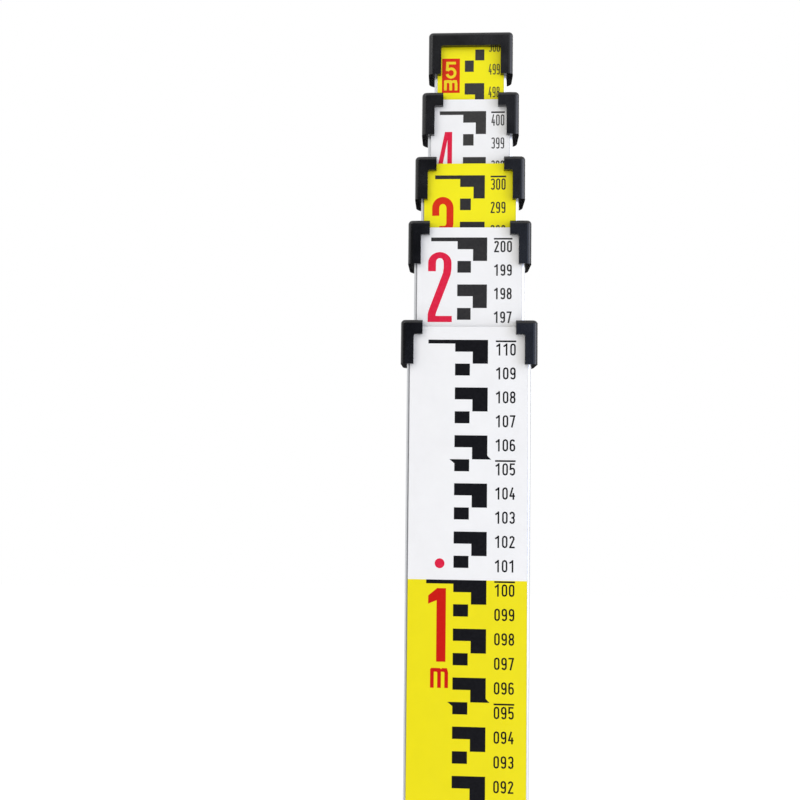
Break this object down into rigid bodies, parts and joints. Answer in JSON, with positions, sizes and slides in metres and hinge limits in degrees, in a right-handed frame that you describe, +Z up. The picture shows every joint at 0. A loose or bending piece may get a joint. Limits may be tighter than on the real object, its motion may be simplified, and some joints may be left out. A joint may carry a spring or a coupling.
{
  "type": "leveling staff",
  "caption": "Telescoping aluminium leveling staff with graduated front and back, plastic guide collars, a closed top cap, a screwed foot and sprung lock buttons.",
  "frame": {"origin": "centre of the underside of the base plate, where the staff's reading is 0.000 m", "axes": "+Z up along the staff as it stands collapsed; the front face with the three-figure numbers looks along -Y; +X is to the right when the front is read"},
  "size_m": [0.0572, 0.0316, 1.2342],
  "materials": {
    "anodised_aluminium": "extruded and satin anodised",
    "black_plastic": "moulded, satin black",
    "scale_yellow": "printed film, yellow with black and red graduation",
    "scale_white": "printed film, white with black and red graduation",
    "steel": "zinc-plated steel",
    "nylon": "moulded natural nylon",
    "rubber": "black rubber sheet",
    "black_ink": "black screen ink of the graduation",
    "red_ink": "red screen ink of the metre numerals"
  },
  "bodies": {
    "outer": {"section_1": "anodised_aluminium", "front_scale_1": "scale_yellow", "back_scale_1": "scale_yellow", "collar_1": "black_plastic", "base_plate": "steel", "base_screws": "steel", "base_shoe": "black_plastic", "foot_block": "nylon", "landing_pad": "rubber"},
    "slider_2": {"section_2": "anodised_aluminium", "front_scale_2": "scale_white", "back_scale_2": "scale_white", "collar_2": "black_plastic", "end_plug_2": "nylon", "plug_rivet_2": "steel", "button_spring_2": "steel"},
    "slider_3": {"section_3": "anodised_aluminium", "front_scale_3": "scale_yellow", "back_scale_3": "scale_yellow", "collar_3": "black_plastic", "end_plug_3": "nylon", "plug_rivet_3": "steel", "button_spring_3": "steel"},
    "slider_4": {"section_4": "anodised_aluminium", "front_scale_4": "scale_white", "back_scale_4": "scale_white", "collar_4": "black_plastic", "end_plug_4": "nylon", "plug_rivet_4": "steel", "button_spring_4": "steel"},
    "slider_5": {"section_5": "anodised_aluminium", "front_scale_5": "scale_yellow", "back_scale_5": "scale_yellow", "top_cap": "black_plastic", "end_plug_5": "nylon", "plug_rivet_5": "steel", "button_spring_5": "steel"},
    "button_2": {"lock_button_2": "steel"},
    "button_3": {"lock_button_3": "steel"},
    "button_4": {"lock_button_4": "steel"},
    "button_5": {"lock_button_5": "steel"}
  },
  "joints": [
    {"name": "section_2_slide", "type": "slide", "parent": "outer", "child": "slider_2", "axis": [0, 0, 1], "range_m": [0, 0.8563]},
    {"name": "section_3_slide", "type": "slide", "parent": "slider_2", "child": "slider_3", "axis": [0, 0, 1], "range_m": [0, 0.9728]},
    {"name": "section_4_slide", "type": "slide", "parent": "slider_3", "child": "slider_4", "axis": [0, 0, 1], "range_m": [0, 0.9715]},
    {"name": "section_5_slide", "type": "slide", "parent": "slider_4", "child": "slider_5", "axis": [0, 0, 1], "range_m": [0, 0.967]},
    {"name": "button_2_press", "type": "slide", "parent": "slider_2", "child": "button_2", "axis": [1, 0, 0], "range_m": [-0.0025, 0], "stiffness_N_per_m": 400, "springref_m": 0.004, "deforming": ["button_spring_2"]},
    {"name": "button_3_press", "type": "slide", "parent": "slider_3", "child": "button_3", "axis": [1, 0, 0], "range_m": [-0.0025, 0], "stiffness_N_per_m": 400, "springref_m": 0.004, "deforming": ["button_spring_3"]},
    {"name": "button_4_press", "type": "slide", "parent": "slider_4", "child": "button_4", "axis": [1, 0, 0], "range_m": [-0.0025, 0], "stiffness_N_per_m": 400, "springref_m": 0.004, "deforming": ["button_spring_4"]},
    {"name": "button_5_press", "type": "slide", "parent": "slider_5", "child": "button_5", "axis": [1, 0, 0], "range_m": [-0.0025, 0], "stiffness_N_per_m": 400, "springref_m": 0.004, "deforming": ["button_spring_5"]}
  ]
}
